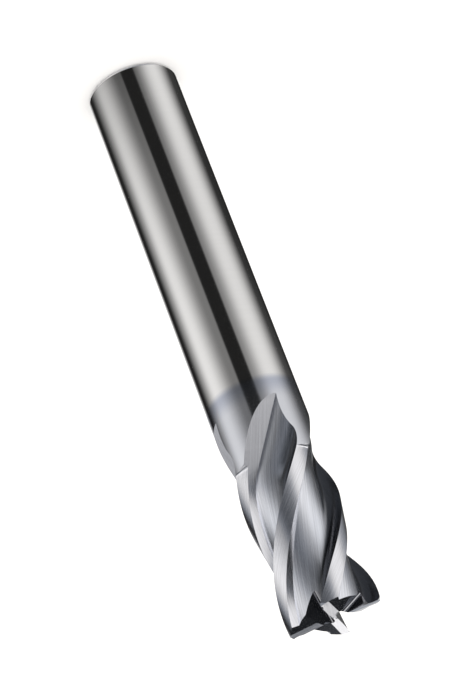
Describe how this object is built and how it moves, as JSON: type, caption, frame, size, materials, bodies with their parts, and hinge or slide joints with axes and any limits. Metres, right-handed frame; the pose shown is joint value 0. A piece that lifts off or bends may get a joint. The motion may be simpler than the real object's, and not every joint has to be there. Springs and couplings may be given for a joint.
{
  "type": "square endmill",
  "caption": "Solid carbide square endmill: polished cylindrical shank, right-hand helical flutes with relieved lands, straight run-outs and centre-cutting end teeth; the cutting half has a thin blue-grey coating.",
  "frame": {"origin": "centre of the flat end of the shank, on the tool's axis", "axes": "+Z runs along the tool's axis from the shank to the cutting end, and the tool stands on its shank; +Y and -Y point along the two long end teeth that cut to the centre, and +X and -X along the two short ones"},
  "size_m": [0.0096, 0.0096, 0.0635],
  "materials": {
    "carbide": "ground and polished tungsten carbide, blue-grey coating on the cutting half"
  },
  "bodies": {
    "root": {"endmill": "carbide"}
  },
  "joints": []
}
